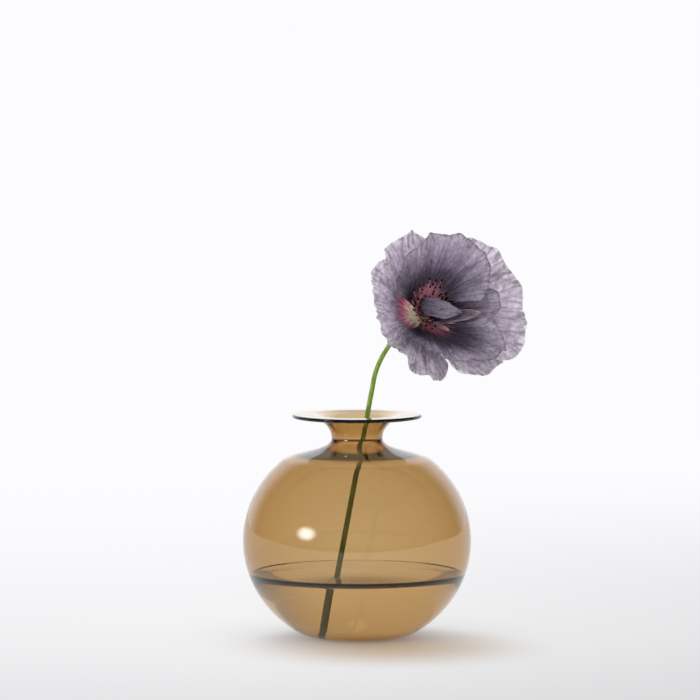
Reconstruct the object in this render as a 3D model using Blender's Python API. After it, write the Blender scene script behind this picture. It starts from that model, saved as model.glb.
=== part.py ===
"""Blown glass bud vase, part filled with water, holding one cut poppy.

The vase stands on z = 0 with its axis on z. The stem rests on the floor of the vase, leans on the bore
of the neck and bends towards -y, the side that the flower faces. Lengths are in metres, angles in degrees.
"""

import math
import random

import bmesh
import bpy
from mathutils import Matrix, Vector

# The glass, one blown piece: an ellipsoid body, a waisted neck and a flat disc for a rim
BODY_RADIUS = 0.0585
BODY_HALF_HEIGHT = 0.0548
FOOT_SINK = 0.0055
FOOT_RADIUS = 0.0190
HEEL_HEIGHT = 0.0045
WALL = 0.0020
FLOOR_THICKNESS = 0.0036
SHOULDER_RADIUS = 0.0390
SHOULDER_RISE = 0.0119
SHOULDER_SWEEP = 0.0085
INNER_SWEEP = 0.0095
NECK_RADIUS = 0.0130
NECK_WALL = 0.0028
NECK_FILLET = 0.0065
BORE_FILLET = 0.0086
BORE_RISE = 0.0010
BORE_LENGTH = 0.0025
FLARE_HEIGHT = 0.0123
FLARE_RADIUS = 0.0240
MOUTH_RADIUS = 0.0240
RIM_RADIUS = 0.0332
RIM_THICKNESS = 0.0018

# The water, and the gap left around everything that touches
WATER_DEPTH = 0.0274
GAP = 0.0003

# The stem, thickest at its cut end
STEM_FOOT_RADIUS = 0.00150
STEM_TOP_RADIUS = 0.00112
STEM_STRAIGHT = 0.1294
STEM_LEAN_AZIMUTH = 65.8
STEM_TOUCH_RISE = 0.0005
STEM_BEND_RIGHT = 0.0216
STEM_BEND_FORWARD = 0.0114
STEM_BEND_UP = 0.0321
STEM_BEND_START = 0.0140
STEM_BEND_END = 0.0160

# The flower head: which way it faces, and the parts at its heart
FLOWER_AZIMUTH = 30.0
FLOWER_ELEVATION = 20.0
RECEPTACLE_RADIUS = 0.0037
RECEPTACLE_CONE = 0.0025
RECEPTACLE_HEIGHT = 0.0070
POD_RADIUS = 0.0019
POD_FOOT_RADIUS = 0.0013
POD_HEIGHT = 0.0066
CAP_RADIUS = 0.0023
CAP_THICKNESS = 0.0010
CAP_LOBES = 9
STAMEN_COLLAR_WIDTH = 0.0005
STAMEN_COLLAR_HEIGHT = 0.0006
FILAMENT_WIDTH = 0.0003
ANTHER_WIDTH = 0.0010
ANTHER_LENGTH = 0.0016

# Petals: sectors of a cup around the flower's axis, each layer opening less than the one below it
PETAL_THICKNESS = 0.00025
PETAL_STEP = 0.00060
PETAL_LAYERS = 6
PETAL_COLUMN_ANGLE = 4.0
PETAL_ROWS = 9
PETAL_REFERENCE = 0.040
CLAW_SPREAD = 0.6
RUFFLE_WAVES = 9
WRINKLE_ANGLE = 3.2
WRINKLES = 24

# name, layer, azimuth, half spread, length at five places from one side to the other,
# opening at the base, flare at the reference length, curl of the tip, ruffle of the margin
PETALS = (
    ("outer_petal_right", 0, 10, 52, (0.0465, 0.0522, 0.0507, 0.0490, 0.0420), 63, 6, 4, 7),
    ("outer_petal_left", 0, 155, 70, (0.0405, 0.0358, 0.0335, 0.0320, 0.0280), 62, 10, 6, 15),
    ("outer_petal_front", 1, 240, 36, (0.0300, 0.0350, 0.0390, 0.0405, 0.0310), 56, 10, 8, 12),
    ("outer_petal_bottom", 1, 298.5, 21, (0.0330, 0.0425, 0.0445, 0.0460, 0.0440), 58, 6, 4, 9),
    ("inner_petal_right", 2, 0, 26, (0.0260, 0.0345, 0.0385, 0.0360, 0.0260), 55, 4, 0, 7),
    ("inner_petal_top", 3, 82, 78, (0.0310, 0.0435, 0.0420, 0.0335, 0.0260), 50, 3, 0, 7),
    ("inner_petal_bottom", 4, 273, 71, (0.0330, 0.0270, 0.0350, 0.0460, 0.0330), 48, 4, 0, 7),
    ("petaloid_pale", 5, 306, 9, (0.0080, 0.0120, 0.0145, 0.0120, 0.0080), 45, 0, 0, 0),
    ("petaloid_right", 6, 340, 20, (0.0100, 0.0140, 0.0220, 0.0270, 0.0140), 47, 2, 0, 0),
)

# The hood, a petaloid whose claw rises beside the pod and whose blade folds over it. Half widths are
# at five places from the claw to the tip, and the stamens under the blade are short.
HOOD_AZIMUTH = -14.0
HOOD_LENGTH = 0.0345
HOOD_HALF_WIDTHS = (0.0005, 0.0030, 0.0048, 0.0044, 0.0005)
HOOD_LEAN = -34.0
HOOD_TURN = 122.0
HOOD_UPRIGHT = 0.07
HOOD_FOLD_START = 0.24
HOOD_FOLD_END = 0.44
HOOD_SHIFT = 0.0012
HOOD_DROOP = 0.0015
HOOD_SHELTER = 50.0
SHELTERED_LENGTH = 0.5

# name, filaments, outer radius of the collar, lean, length
STAMENS = (
    ("stamens_inner", 16, 0.0027, 31.0, 0.0120),
    ("stamens_outer", 22, 0.0035, 37.0, 0.0180),
)

SEGMENTS = 48


def linear(hex_colour):
    """Blender's linear colour of an sRGB hex colour."""
    parts = [int(hex_colour[at:at + 2], 16) / 255 for at in (0, 2, 4)]
    return [part / 12.92 if part <= 0.04045 else ((part + 0.055) / 1.055) ** 2.4 for part in parts]


def add_object(name, data, hex_colour, roughness, parent=None, transmission=0.0):
    """An object of its own, with its own material, under the empty that carries it."""
    material = bpy.data.materials.new(name)
    material.use_nodes = True
    shader = material.node_tree.nodes["Principled BSDF"]
    shader.inputs["Base Color"].default_value = (*linear(hex_colour), 1.0)
    shader.inputs["Roughness"].default_value = roughness
    shader.inputs["Metallic"].default_value = 0.0
    shader.inputs["Transmission Weight"].default_value = transmission
    data.materials.append(material)
    obj = bpy.data.objects.new(name, data)
    bpy.context.scene.collection.objects.link(obj)
    obj.parent = parent
    return obj


def add_empty(name, matrix, parent=None):
    empty = bpy.data.objects.new(name, None)
    bpy.context.scene.collection.objects.link(empty)
    empty.parent = parent
    empty.matrix_basis = matrix
    return empty


def bezier(start, start_handle, end_handle, end, steps):
    """Points along a cubic curve, without its start."""
    points = []
    for step in range(1, steps + 1):
        t = step / steps
        s = 1 - t
        points.append(s ** 3 * start + 3 * s * s * t * start_handle + 3 * s * t * t * end_handle + t ** 3 * end)
    return points


def turned_mesh(name, profile):
    """A mesh of edges for the Screw modifier; the profile runs down the outer side."""
    mesh = bpy.data.meshes.new(name)
    edges = [(at, at + 1) for at in range(len(profile) - 1)]
    mesh.from_pydata([(point.x, 0, point.y) for point in profile], edges, [])
    return mesh


def turn(obj, segments):
    screw = obj.modifiers.new("Turn", "SCREW")
    screw.steps = segments
    screw.render_steps = segments
    screw.use_merge_vertices = True
    screw.merge_threshold = 0.00001
    screw.use_smooth_shade = True


def mesh_from(name, bm, smooth=True):
    for face in bm.faces:
        face.smooth = smooth
    mesh = bpy.data.meshes.new(name)
    bm.to_mesh(mesh)
    bm.free()
    return mesh


# Heights that follow from the glass sizes
BODY_CENTRE = BODY_HALF_HEIGHT - FOOT_SINK
SHOULDER_ANGLE = math.acos(SHOULDER_RADIUS / BODY_RADIUS)
WAIST = BODY_CENTRE + BODY_HALF_HEIGHT * math.sin(SHOULDER_ANGLE) + SHOULDER_RISE
RIM_TOP = WAIST + FLARE_HEIGHT
BORE_RADIUS = NECK_RADIUS - NECK_WALL
BORE_TOP = WAIST + BORE_RISE
BORE_BOTTOM = BORE_TOP - BORE_LENGTH
FLOOR_RADIUS = FOOT_RADIUS - WALL


def on_ellipse(inset, angle):
    """A point of the body's wall and the direction of growing angle there."""
    across = BODY_RADIUS - inset
    up = BODY_HALF_HEIGHT - inset
    point = Vector((across * math.cos(angle), BODY_CENTRE + up * math.sin(angle)))
    return point, Vector((-across * math.sin(angle), up * math.cos(angle))).normalized()


def wall_curve(inset, low, heel_height, flat_radius, high_angle, heel_steps, wall_steps):
    """The wall from the edge of its flat bottom, round the heel and up the ellipse to the given angle."""
    heel_angle = math.asin((low + heel_height - BODY_CENTRE) / (BODY_HALF_HEIGHT - inset))
    heel, direction = on_ellipse(inset, heel_angle)
    start = Vector((flat_radius, low))
    handle = 0.4 * (heel - start).length
    points = [start]
    points += bezier(start, start + Vector((handle, 0)), heel - handle * direction, heel, heel_steps)
    for step in range(1, wall_steps + 1):
        angle = heel_angle + (high_angle - heel_angle) * step / wall_steps
        points.append(on_ellipse(inset, angle)[0])
    return points


def vase_profile():
    """From the middle of the inside floor up the inside, over the rim and down the outside to the foot."""
    outside = wall_curve(0.0, 0.0, HEEL_HEIGHT, FOOT_RADIUS, SHOULDER_ANGLE, 4, 10)
    shoulder, direction = on_ellipse(0.0, SHOULDER_ANGLE)
    waist = Vector((NECK_RADIUS, WAIST))
    below_waist = waist - Vector((0, NECK_FILLET))
    outside += bezier(shoulder, shoulder + SHOULDER_SWEEP * direction, below_waist, waist, 6)
    half = RIM_THICKNESS / 2
    flare_end = Vector((FLARE_RADIUS, RIM_TOP - RIM_THICKNESS))
    above_waist = waist + Vector((0, 0.4 * FLARE_HEIGHT))
    flare_handle = flare_end - Vector((0.55 * (FLARE_RADIUS - NECK_RADIUS), 0))
    outside += bezier(waist, above_waist, flare_handle, flare_end, 6)
    for step in range(5):
        angle = math.radians(-90 + 45 * step)
        outside.append(Vector((RIM_RADIUS - half + half * math.cos(angle), RIM_TOP - half + half * math.sin(angle))))
    inside = [Vector((0, FLOOR_THICKNESS))]
    inside += wall_curve(WALL, FLOOR_THICKNESS, HEEL_HEIGHT, FLOOR_RADIUS, SHOULDER_ANGLE, 3, 9)
    shoulder, direction = on_ellipse(WALL, SHOULDER_ANGLE)
    bore_bottom = Vector((BORE_RADIUS, BORE_BOTTOM))
    bore_top = Vector((BORE_RADIUS, BORE_TOP))
    mouth = Vector((MOUTH_RADIUS, RIM_TOP))
    below_bore = bore_bottom - Vector((0, BORE_FILLET))
    inside += bezier(shoulder, shoulder + INNER_SWEEP * direction, below_bore, bore_bottom, 6)
    above_bore = bore_top + Vector((0, 0.7 * (RIM_TOP - BORE_TOP)))
    mouth_handle = mouth - Vector((0.55 * (MOUTH_RADIUS - BORE_RADIUS), 0))
    inside.append(bore_top)
    inside += bezier(bore_top, above_bore, mouth_handle, mouth, 6)
    return inside + outside[::-1] + [Vector((0, 0))]


def water_profile():
    """Down the outside of the water, from the middle of its surface to the middle of its bottom."""
    inset = WALL + GAP
    bottom = FLOOR_THICKNESS + GAP
    surface = FLOOR_THICKNESS + WATER_DEPTH
    high_angle = math.asin((surface - BODY_CENTRE) / (BODY_HALF_HEIGHT - inset))
    wall = wall_curve(inset, bottom, HEEL_HEIGHT, FLOOR_RADIUS - GAP, high_angle, 3, 4)
    return [Vector((0, surface))] + wall[::-1] + [Vector((0, bottom))]


def stem_line():
    """The middle of the cut end, and the direction in which the straight part of the stem rises."""
    foot_reach = FLOOR_RADIUS - STEM_FOOT_RADIUS - GAP
    foot = Vector((-foot_reach, 0, FLOOR_THICKNESS + GAP + 0.25 * STEM_FOOT_RADIUS))
    lean = math.radians(STEM_LEAN_AZIMUTH)
    touch = BORE_RADIUS - STEM_FOOT_RADIUS - GAP
    touch_height = BORE_TOP + STEM_TOUCH_RISE
    leaning = Vector((touch * math.cos(lean), touch * math.sin(lean), touch_height))
    return foot, (leaning - foot).normalized()


def flower_axes():
    """The flower's own axes as columns: right, up, and the way that it faces."""
    turn_angle = math.radians(FLOWER_AZIMUTH)
    lift_angle = math.radians(FLOWER_ELEVATION)
    level = math.cos(lift_angle)
    facing = Vector((level * math.sin(turn_angle), -level * math.cos(turn_angle), math.sin(lift_angle)))
    up = (Vector((0, 0, 1)) - facing.z * facing).normalized()
    right = up.cross(facing)
    return Matrix((right, up, facing)).transposed()


def build_vase():
    vase = add_object("glass_vase", turned_mesh("glass_vase", vase_profile()), "b79566", 0.03, transmission=1.0)
    turn(vase, SEGMENTS)


def build_water(foot, rise, carrier):
    """The water, with a passage that the stem slides in."""
    water = add_object("water", turned_mesh("water", water_profile()), "dfe6e4", 0.02, carrier, transmission=1.0)
    turn(water, SEGMENTS)
    length = 2 * (WATER_DEPTH + BODY_RADIUS)
    bm = bmesh.new()
    bore = STEM_FOOT_RADIUS + GAP
    bmesh.ops.create_cone(bm, cap_ends=True, segments=24, radius1=bore, radius2=bore, depth=length)
    cutter = bpy.data.objects.new("stem_passage", mesh_from("stem_passage", bm))
    bpy.context.scene.collection.objects.link(cutter)
    cutter.matrix_world = Matrix.Translation(foot) @ rise.to_track_quat("Z", "Y").to_matrix().to_4x4()
    cutter.hide_render = True
    cutter.display_type = "WIRE"
    passage = water.modifiers.new("Stem passage", "BOOLEAN")
    passage.operation = "DIFFERENCE"
    passage.solver = "EXACT"
    passage.object = cutter


def stem_path(rise, facing):
    """Points of the stem from its cut end, straight at first and then bent round to face with the flower."""
    bend = STEM_STRAIGHT * rise
    top = bend + Vector((STEM_BEND_RIGHT, -STEM_BEND_FORWARD, STEM_BEND_UP))
    points = [bend * step / 9 for step in range(10)]
    points += bezier(bend, bend + STEM_BEND_START * rise, top - STEM_BEND_END * facing, top, 12)
    return points


def build_stem(points, carrier):
    curve = bpy.data.curves.new("stem", "CURVE")
    curve.dimensions = "3D"
    curve.bevel_depth = STEM_FOOT_RADIUS
    curve.bevel_resolution = 3
    curve.use_fill_caps = True
    spline = curve.splines.new("POLY")
    spline.points.add(len(points) - 1)
    run = 0.0
    whole = sum((after - before).length for before, after in zip(points, points[1:]))
    for at, point in enumerate(points):
        if at:
            run += (point - points[at - 1]).length
        spline.points[at].co = (*point, 1.0)
        spline.points[at].radius = 1 + (STEM_TOP_RADIUS / STEM_FOOT_RADIUS - 1) * run / whole
    spline.use_smooth = True
    add_object("stem", curve, "6b8428", 0.45, carrier)


def build_heart(carrier):
    """The receptacle, the seed pod and its cap, one above the other on the flower's axis."""
    low = GAP
    high = GAP + RECEPTACLE_HEIGHT
    receptacle = [
        Vector((0, high)),
        Vector((0.85 * RECEPTACLE_RADIUS, high)),
        Vector((RECEPTACLE_RADIUS, high - 0.1 * RECEPTACLE_RADIUS)),
        Vector((RECEPTACLE_RADIUS, low + RECEPTACLE_CONE)),
        Vector((STEM_TOP_RADIUS, low)),
        Vector((0, low)),
    ]
    turn(add_object("receptacle", turned_mesh("receptacle", receptacle), "6f8a3a", 0.5, carrier), 24)
    pod_low = high + GAP
    pod_high = pod_low + POD_HEIGHT
    pod_foot = Vector((POD_FOOT_RADIUS, pod_low + 2 * STAMEN_COLLAR_HEIGHT))
    pod_top = Vector((0.7 * POD_RADIUS, pod_high))
    pod = [Vector((0, pod_low)), Vector((POD_FOOT_RADIUS, pod_low)), pod_foot]
    widest = POD_RADIUS * 1.35
    pod += bezier(pod_foot, Vector((widest, pod_foot.y)), Vector((widest, pod_high)), pod_top, 6)
    pod += [Vector((0, pod_high))]
    turn(add_object("seed_pod", turned_mesh("seed_pod", pod[::-1]), "5f6b3c", 0.55, carrier), 24)
    bm = bmesh.new()
    segments = 4 * CAP_LOBES
    middle = Matrix.Translation((0, 0, pod_high + GAP + CAP_THICKNESS / 2))
    bmesh.ops.create_cone(bm, cap_ends=True, segments=segments, radius1=CAP_RADIUS, radius2=0.8 * CAP_RADIUS,
                          depth=CAP_THICKNESS, matrix=middle)
    for vert in bm.verts:
        lobe = 0.9 + 0.1 * math.cos(CAP_LOBES * math.atan2(vert.co.y, vert.co.x))
        vert.co.x *= lobe
        vert.co.y *= lobe
    add_object("stigma_cap", mesh_from("stigma_cap", bm, False), "3c3a26", 0.7, carrier)
    return high


def ring_of_faces(bm, inner, outer, low, high, steps):
    """A square-sectioned collar around the axis; returns its top faces in order round it."""
    corners = [(inner, low), (outer, low), (outer, high), (inner, high)]
    verts = [bm.verts.new((across, 0, up)) for across, up in corners]
    edges = [bm.edges.new((verts[at], verts[(at + 1) % 4])) for at in range(4)]
    bmesh.ops.spin(bm, geom=verts + edges, cent=(0, 0, 0), axis=(0, 0, 1), angle=math.tau, steps=steps, use_merge=True)
    bmesh.ops.recalc_face_normals(bm, faces=bm.faces)
    tops = [face for face in bm.faces if face.normal.z > 0.9]
    return sorted(tops, key=lambda face: math.atan2(face.calc_center_median().y, face.calc_center_median().x))


def grow_to(bm, face, centre, width):
    """Extrudes one face to a square of the given width around the given centre."""
    grown = bmesh.ops.extrude_discrete_faces(bm, faces=[face])["faces"][0]
    old = grown.calc_center_median()
    half = max((vert.co - old).length for vert in grown.verts) / math.sqrt(2)
    for vert in grown.verts:
        vert.co = centre + (vert.co - old) * (width / 2 / half)
    return grown


def build_stamens(name, count, outer, lean, length, floor, seed, carrier):
    """A ring of filaments with an anther on each, all growing from one collar."""
    chance = random.Random(seed)
    bm = bmesh.new()
    low = floor + GAP
    high = low + STAMEN_COLLAR_HEIGHT
    tops = ring_of_faces(bm, outer - STAMEN_COLLAR_WIDTH, outer, low, high, 2 * count)
    for face in tops[::2]:
        start = face.calc_center_median()
        outward = Vector((start.x, start.y, 0)).normalized()
        angle = math.radians(lean + chance.uniform(-2.5, 2.5))
        reach = length * chance.uniform(0.8, 1.0)
        from_hood = math.atan2(start.y, start.x) - math.radians(HOOD_AZIMUTH)
        if abs(math.remainder(from_hood, math.tau)) < math.radians(HOOD_SHELTER):
            reach *= SHELTERED_LENGTH
        along = math.sin(angle) * outward + math.cos(angle) * Vector((0, 0, 1))
        anther_start = reach - ANTHER_LENGTH
        face = grow_to(bm, face, start + 0.10 * reach * along, FILAMENT_WIDTH)
        face = grow_to(bm, face, start + anther_start * along, FILAMENT_WIDTH)
        face = grow_to(bm, face, start + (anther_start + 0.25 * ANTHER_LENGTH) * along, ANTHER_WIDTH)
        face = grow_to(bm, face, start + (anther_start + 0.75 * ANTHER_LENGTH) * along, ANTHER_WIDTH)
        grow_to(bm, face, start + reach * along, 0.5 * ANTHER_WIDTH)
    add_object(name, mesh_from(name, bm, False), "2a2024", 0.8, carrier)


def between(stations, across):
    """A smooth curve through five evenly spaced values, at a place from -1 to 1."""
    place = 2 * (across + 1)
    low = min(3, int(place))
    t = place - low
    before = stations[max(0, low - 1)]
    start = stations[low]
    end = stations[low + 1]
    after = stations[min(4, low + 2)]
    rise = (end - before) / 2
    fall = (after - start) / 2
    return (start * (1 + 2 * t) * (1 - t) ** 2 + rise * t * (1 - t) ** 2
            + end * t * t * (3 - 2 * t) - fall * t * t * (1 - t))


def petal_point(seat, azimuth, reach, longest, opening, flare, curl, ruffle):
    """A point of a petal's middle surface: up the cup from its seat, in the half plane of its azimuth."""
    radius, height = seat
    wander = 2.2 * math.sin(5 * azimuth + 1) + 1.5 * math.sin(8 * azimuth)
    depth = WRINKLE_ANGLE * (0.6 + 0.4 * math.sin(7 * azimuth + 2))
    steps = 14
    for step in range(steps):
        at = reach * (step + 0.5) / steps
        share = at / PETAL_REFERENCE
        angle = opening + flare * share ** 1.3 + curl * (at / longest) ** 3
        angle += ruffle * share ** 2 * math.sin(RUFFLE_WAVES * azimuth + 2.0 * math.sin(3 * azimuth) + 2.5 * share)
        angle += depth * share * math.sin(WRINKLES * azimuth + wander + share)
        radius += math.sin(math.radians(angle)) * reach / steps
        height += math.cos(math.radians(angle)) * reach / steps
    return Vector((radius * math.cos(azimuth), radius * math.sin(azimuth), height))


def build_sheet(name, columns, rows, place, hex_colour, carrier):
    """A thin sheet of tissue; place gives its middle surface, from -1 to 1 across and from 0 to 1 along."""
    bm = bmesh.new()
    bmesh.ops.create_grid(bm, x_segments=columns, y_segments=rows, size=1.0)
    for vert in bm.verts:
        vert.co = place(vert.co.x, (vert.co.y + 1) / 2)
    sheet = add_object(name, mesh_from(name, bm), hex_colour, 0.7, carrier)
    solidify = sheet.modifiers.new("Thickness", "SOLIDIFY")
    solidify.thickness = PETAL_THICKNESS
    solidify.offset = 0.0


def build_petal(row, floor, carrier):
    """A fan of a petal, wider than its claw, on the side of the receptacle."""
    name, layer, azimuth, spread, lengths, opening, flare, curl, ruffle = row
    seat = (RECEPTACLE_RADIUS + GAP, floor - GAP - (PETAL_LAYERS - layer) * PETAL_STEP)

    def place(across, along):
        here = math.radians(azimuth + spread * across * (CLAW_SPREAD + (1 - CLAW_SPREAD) * along ** 0.6))
        reach = along * between(lengths, across)
        return petal_point(seat, here, reach, max(lengths), opening, flare, curl, ruffle)

    columns = max(8, round(2 * spread / PETAL_COLUMN_ANGLE))
    build_sheet(name, columns, PETAL_ROWS, place, "b0a3b0" if name.startswith("outer") else "7a6c7c", carrier)


def ease(share):
    """A smooth step from 0 to 1."""
    share = min(1.0, max(0.0, share))
    return share * share * (3 - 2 * share)


def hood_heading(along):
    """How far the hood is turned from the flower's axis at a share of its length."""
    folded = ease((along - HOOD_FOLD_START) / (HOOD_FOLD_END - HOOD_FOLD_START))
    return math.radians(HOOD_LEAN * ease(along / HOOD_UPRIGHT) + HOOD_TURN * folded)


def build_hood(floor, carrier):
    """The hood: it leans back on its claw, folds over the pod and droops at its sides."""
    turn_to_tip = Matrix.Rotation(math.radians(HOOD_AZIMUTH), 3, "Z")

    def place(across, along):
        ahead = -(POD_FOOT_RADIUS + GAP + PETAL_THICKNESS)
        height = floor + GAP
        steps = 30
        for step in range(steps):
            heading = hood_heading(along * (step + 0.5) / steps)
            ahead += math.sin(heading) * along * HOOD_LENGTH / steps
            height += math.cos(heading) * along * HOOD_LENGTH / steps
        heading = hood_heading(along)
        half_width = between(HOOD_HALF_WIDTHS, 2 * along - 1)
        opened = ease(along / HOOD_FOLD_START)
        droop = HOOD_DROOP * opened * half_width / max(HOOD_HALF_WIDTHS) * across ** 2
        ahead += math.cos(heading) * droop
        height -= math.sin(heading) * droop
        return turn_to_tip @ Vector((ahead, HOOD_SHIFT * opened + half_width * across, height))

    build_sheet("petaloid_hood", 8, 18, place, "7a6c7c", carrier)


def build_flower(foot, rise, carrier):
    """The stem and the flower head, all on the empty that slides along the stem's straight part."""
    axes = flower_axes()
    points = stem_path(rise, axes.col[2])
    build_stem(points, carrier)
    head = add_empty("flower_head", Matrix.Translation(points[-1]) @ axes.to_4x4(), carrier)
    floor = build_heart(head)
    for at, (name, count, outer, lean, length) in enumerate(STAMENS):
        build_stamens(name, count, outer, lean, length, floor, at, head)
    for row in PETALS:
        build_petal(row, floor, head)
    build_hood(floor, head)


def main():
    for obj in list(bpy.data.objects):
        bpy.data.objects.remove(obj)
    foot, rise = stem_line()
    build_vase()
    swing = add_empty("stem_swing_axis", Matrix.Identity(4))
    lift = add_empty("flower_lift_axis", Matrix.Translation(foot), swing)
    build_water(foot, rise, swing)
    build_flower(foot, rise, lift)


main()
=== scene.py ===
import math
import random

import bpy
from mathutils import Matrix, Vector, noise


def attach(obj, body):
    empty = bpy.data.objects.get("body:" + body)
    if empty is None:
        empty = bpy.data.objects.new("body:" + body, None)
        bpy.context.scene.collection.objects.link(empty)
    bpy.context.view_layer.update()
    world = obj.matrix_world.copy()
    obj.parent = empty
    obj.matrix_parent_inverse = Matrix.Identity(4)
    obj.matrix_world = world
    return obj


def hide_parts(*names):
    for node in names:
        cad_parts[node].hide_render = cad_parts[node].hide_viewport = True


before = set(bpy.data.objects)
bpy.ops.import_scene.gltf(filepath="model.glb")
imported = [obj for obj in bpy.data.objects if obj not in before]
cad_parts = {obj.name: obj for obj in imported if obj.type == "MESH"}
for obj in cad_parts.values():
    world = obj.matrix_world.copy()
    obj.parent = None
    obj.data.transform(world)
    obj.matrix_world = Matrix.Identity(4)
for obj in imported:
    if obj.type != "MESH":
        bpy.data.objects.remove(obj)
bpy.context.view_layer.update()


# The studio, which isn't part of the object: white paper that runs out of sight, a bright wall far behind
# and a dark room on the other sides. A soft lamp hangs over the back, and a small one stands in front, at
# the left. The light and the shade that the vase throws on the paper are painted on it.
MM = 0.001
scene = bpy.context.scene
scene.view_settings.view_transform = "Standard"


def linear(hex_colour):
    """Blender's linear colour, with an alpha of 1, of an sRGB hex colour."""
    parts = [int(hex_colour[at:at + 2], 16) / 255 for at in (0, 2, 4)]
    return (*[part / 12.92 if part <= 0.04045 else ((part + 0.055) / 1.055) ** 2.4 for part in parts], 1.0)


def add_node(tree, kind, inputs=None, **settings):
    """Adds a shader node with its settings, and gives each input a value or links it to a socket."""
    node = tree.nodes.new("ShaderNode" + kind)
    for name, value in settings.items():
        setattr(node, name, value)
    for name, value in (inputs or {}).items():
        if isinstance(value, bpy.types.NodeSocket):
            tree.links.new(value, node.inputs[name])
        else:
            node.inputs[name].default_value = value
    return node


def new_material(name):
    """An empty material; returns it, its node tree and its output node."""
    material = bpy.data.materials.new(name)
    material.use_nodes = True
    material.node_tree.nodes.clear()
    return material, material.node_tree, add_node(material.node_tree, "OutputMaterial")


# The world's light, by the direction that it comes from: a fill for the object, a bright wall behind a dark
# room in what it mirrors, and white that dims to the right in what shows through the glass
WHITE = "fcfcfe"
FILL_LIGHT = (0.72, 0.90)
FILL_TURN = (-0.85, 0.0)
ROOM_LIGHT = 0.12
WALL_LIGHT = 1.30
WALL_TURN = (0.5, 0.85)
DIM_SIDE = 0.42
DIM_TURN = (0.12, 0.8)
world = bpy.data.worlds.new("pale_room")
scene.world = world
world.use_nodes = True
tree = world.node_tree
tree.nodes.clear()
direction = add_node(tree, "SeparateXYZ", {0: add_node(tree, "TexCoord").outputs["Generated"]})
fill = add_node(tree, "MapRange", {
    "Value": direction.outputs["Y"], "From Min": FILL_TURN[0], "From Max": FILL_TURN[1],
    "To Min": FILL_LIGHT[0], "To Max": FILL_LIGHT[1],
}, interpolation_type="SMOOTHSTEP")
mirrored = add_node(tree, "MapRange", {
    "Value": direction.outputs["Y"], "From Min": WALL_TURN[0], "From Max": WALL_TURN[1],
    "To Min": ROOM_LIGHT, "To Max": WALL_LIGHT,
}, interpolation_type="SMOOTHSTEP")
through = add_node(tree, "MapRange", {
    "Value": direction.outputs["X"], "From Min": DIM_TURN[0], "From Max": DIM_TURN[1],
    "To Min": 1.0, "To Max": DIM_SIDE,
}, interpolation_type="SMOOTHSTEP")
ray = add_node(tree, "LightPath")
strength = fill
for kind, shown in (("Glossy", mirrored.outputs[0]), ("Transmission", through.outputs[0]), ("Camera", 1.0)):
    strength = add_node(tree, "MapRange", {
        "Value": ray.outputs["Is " + kind + " Ray"], "To Min": strength.outputs[0], "To Max": shown,
    })
background = add_node(tree, "Background", {"Color": linear(WHITE), "Strength": strength.outputs[0]})
add_node(tree, "OutputWorld", {"Surface": background.outputs[0]})

# White paper, matte: lit as paper is near the vase; further off it glows with painted light, as white as the
# wall. Painted on it are the amber light that the glass throws, a painted shadow under the foot, and painted
# shade for the fall of light to the front and right
PAPER_RADIUS = 60.0
PAPER_DROP = 0.1 * MM
PAPER_NEAR = 0.065
PAPER_COLOUR = "f4f3f1"
PAPER_FRONT = 0.45
PAPER_FRONT_DIM = 0.105
PAPER_FRONT_REACH = 0.38
PAPER_SIDE_DIM = 0.25
PAPER_SIDE_PLACES = (-0.08, 0.64)
PAPER_MOST_DIM = 0.6
PAPER_FADE = (0.2, 0.9)
AMBER_PLACE = (0.016, -0.045, 0.0)
AMBER_REACH = 0.09
AMBER_LIGHT_PATCH = "cfb79c"
AMBER_LIT_PAPER = "f7e4cb"
FOOT_SHADOW = (0.0165, 0.0195)
FOOT_SHADE = "4a4038"
bpy.ops.object.select_all(action="DESELECT")
bpy.ops.mesh.primitive_circle_add(
    vertices=96, radius=PAPER_RADIUS, fill_type="NGON", location=(0, 0, -PAPER_DROP),
)
paper = bpy.context.object
paper.name = "paper"
material, tree, output = new_material("white_paper")
place = add_node(tree, "TexCoord").outputs["Object"]
spot = add_node(tree, "SeparateXYZ", {0: place})
away = add_node(tree, "VectorMath", {0: place}, operation="LENGTH")
near = add_node(tree, "Math", {0: math.exp(-1 / PAPER_NEAR), 1: away.outputs["Value"]}, operation="POWER")
# Painted light: a patch of amber light on the paper, in front of the vase and a little to its right
amber = add_node(tree, "MapRange", {
    "Value": add_node(tree, "VectorMath", {0: place, 1: AMBER_PLACE}, operation="DISTANCE").outputs["Value"],
    "From Max": AMBER_REACH, "To Min": 1.0, "To Max": 0.0,
}, interpolation_type="SMOOTHSTEP")
# Painted shade: the glow dims towards the front and the right, less so far off
front_dim = add_node(tree, "Math", {
    0: math.exp(-1 / PAPER_FRONT_REACH), 1: spot.outputs["Y"],
}, operation="POWER")
front_dim = add_node(tree, "Math", {0: front_dim.outputs[0], 1: PAPER_FRONT_DIM}, operation="MULTIPLY")
side_dim = add_node(tree, "MapRange", {
    "Value": spot.outputs["X"], "From Min": PAPER_SIDE_PLACES[0], "From Max": PAPER_SIDE_PLACES[1],
    "To Max": PAPER_SIDE_DIM,
})
dim = add_node(tree, "Math", {0: front_dim.outputs[0], 1: side_dim.outputs[0]}, operation="ADD")
dim = add_node(tree, "Math", {0: dim.outputs[0], 1: PAPER_MOST_DIM}, operation="MINIMUM")
far = add_node(tree, "MapRange", {
    "Value": away.outputs["Value"], "From Min": PAPER_FADE[0], "From Max": PAPER_FADE[1],
    "To Min": 1.0, "To Max": 0.0,
}, interpolation_type="SMOOTHSTEP")
dim = add_node(tree, "Math", {0: dim.outputs[0], 1: far.outputs[0]}, operation="MULTIPLY")
plain = add_node(tree, "Math", {0: 1.0, 1: dim.outputs[0]}, operation="SUBTRACT")
front = add_node(tree, "MapRange", {
    "Value": spot.outputs["Y"], "From Min": -1.5 * PAPER_FRONT, "From Max": -PAPER_FRONT,
    "To Min": ROOM_LIGHT, "To Max": 1.0,
})
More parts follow.
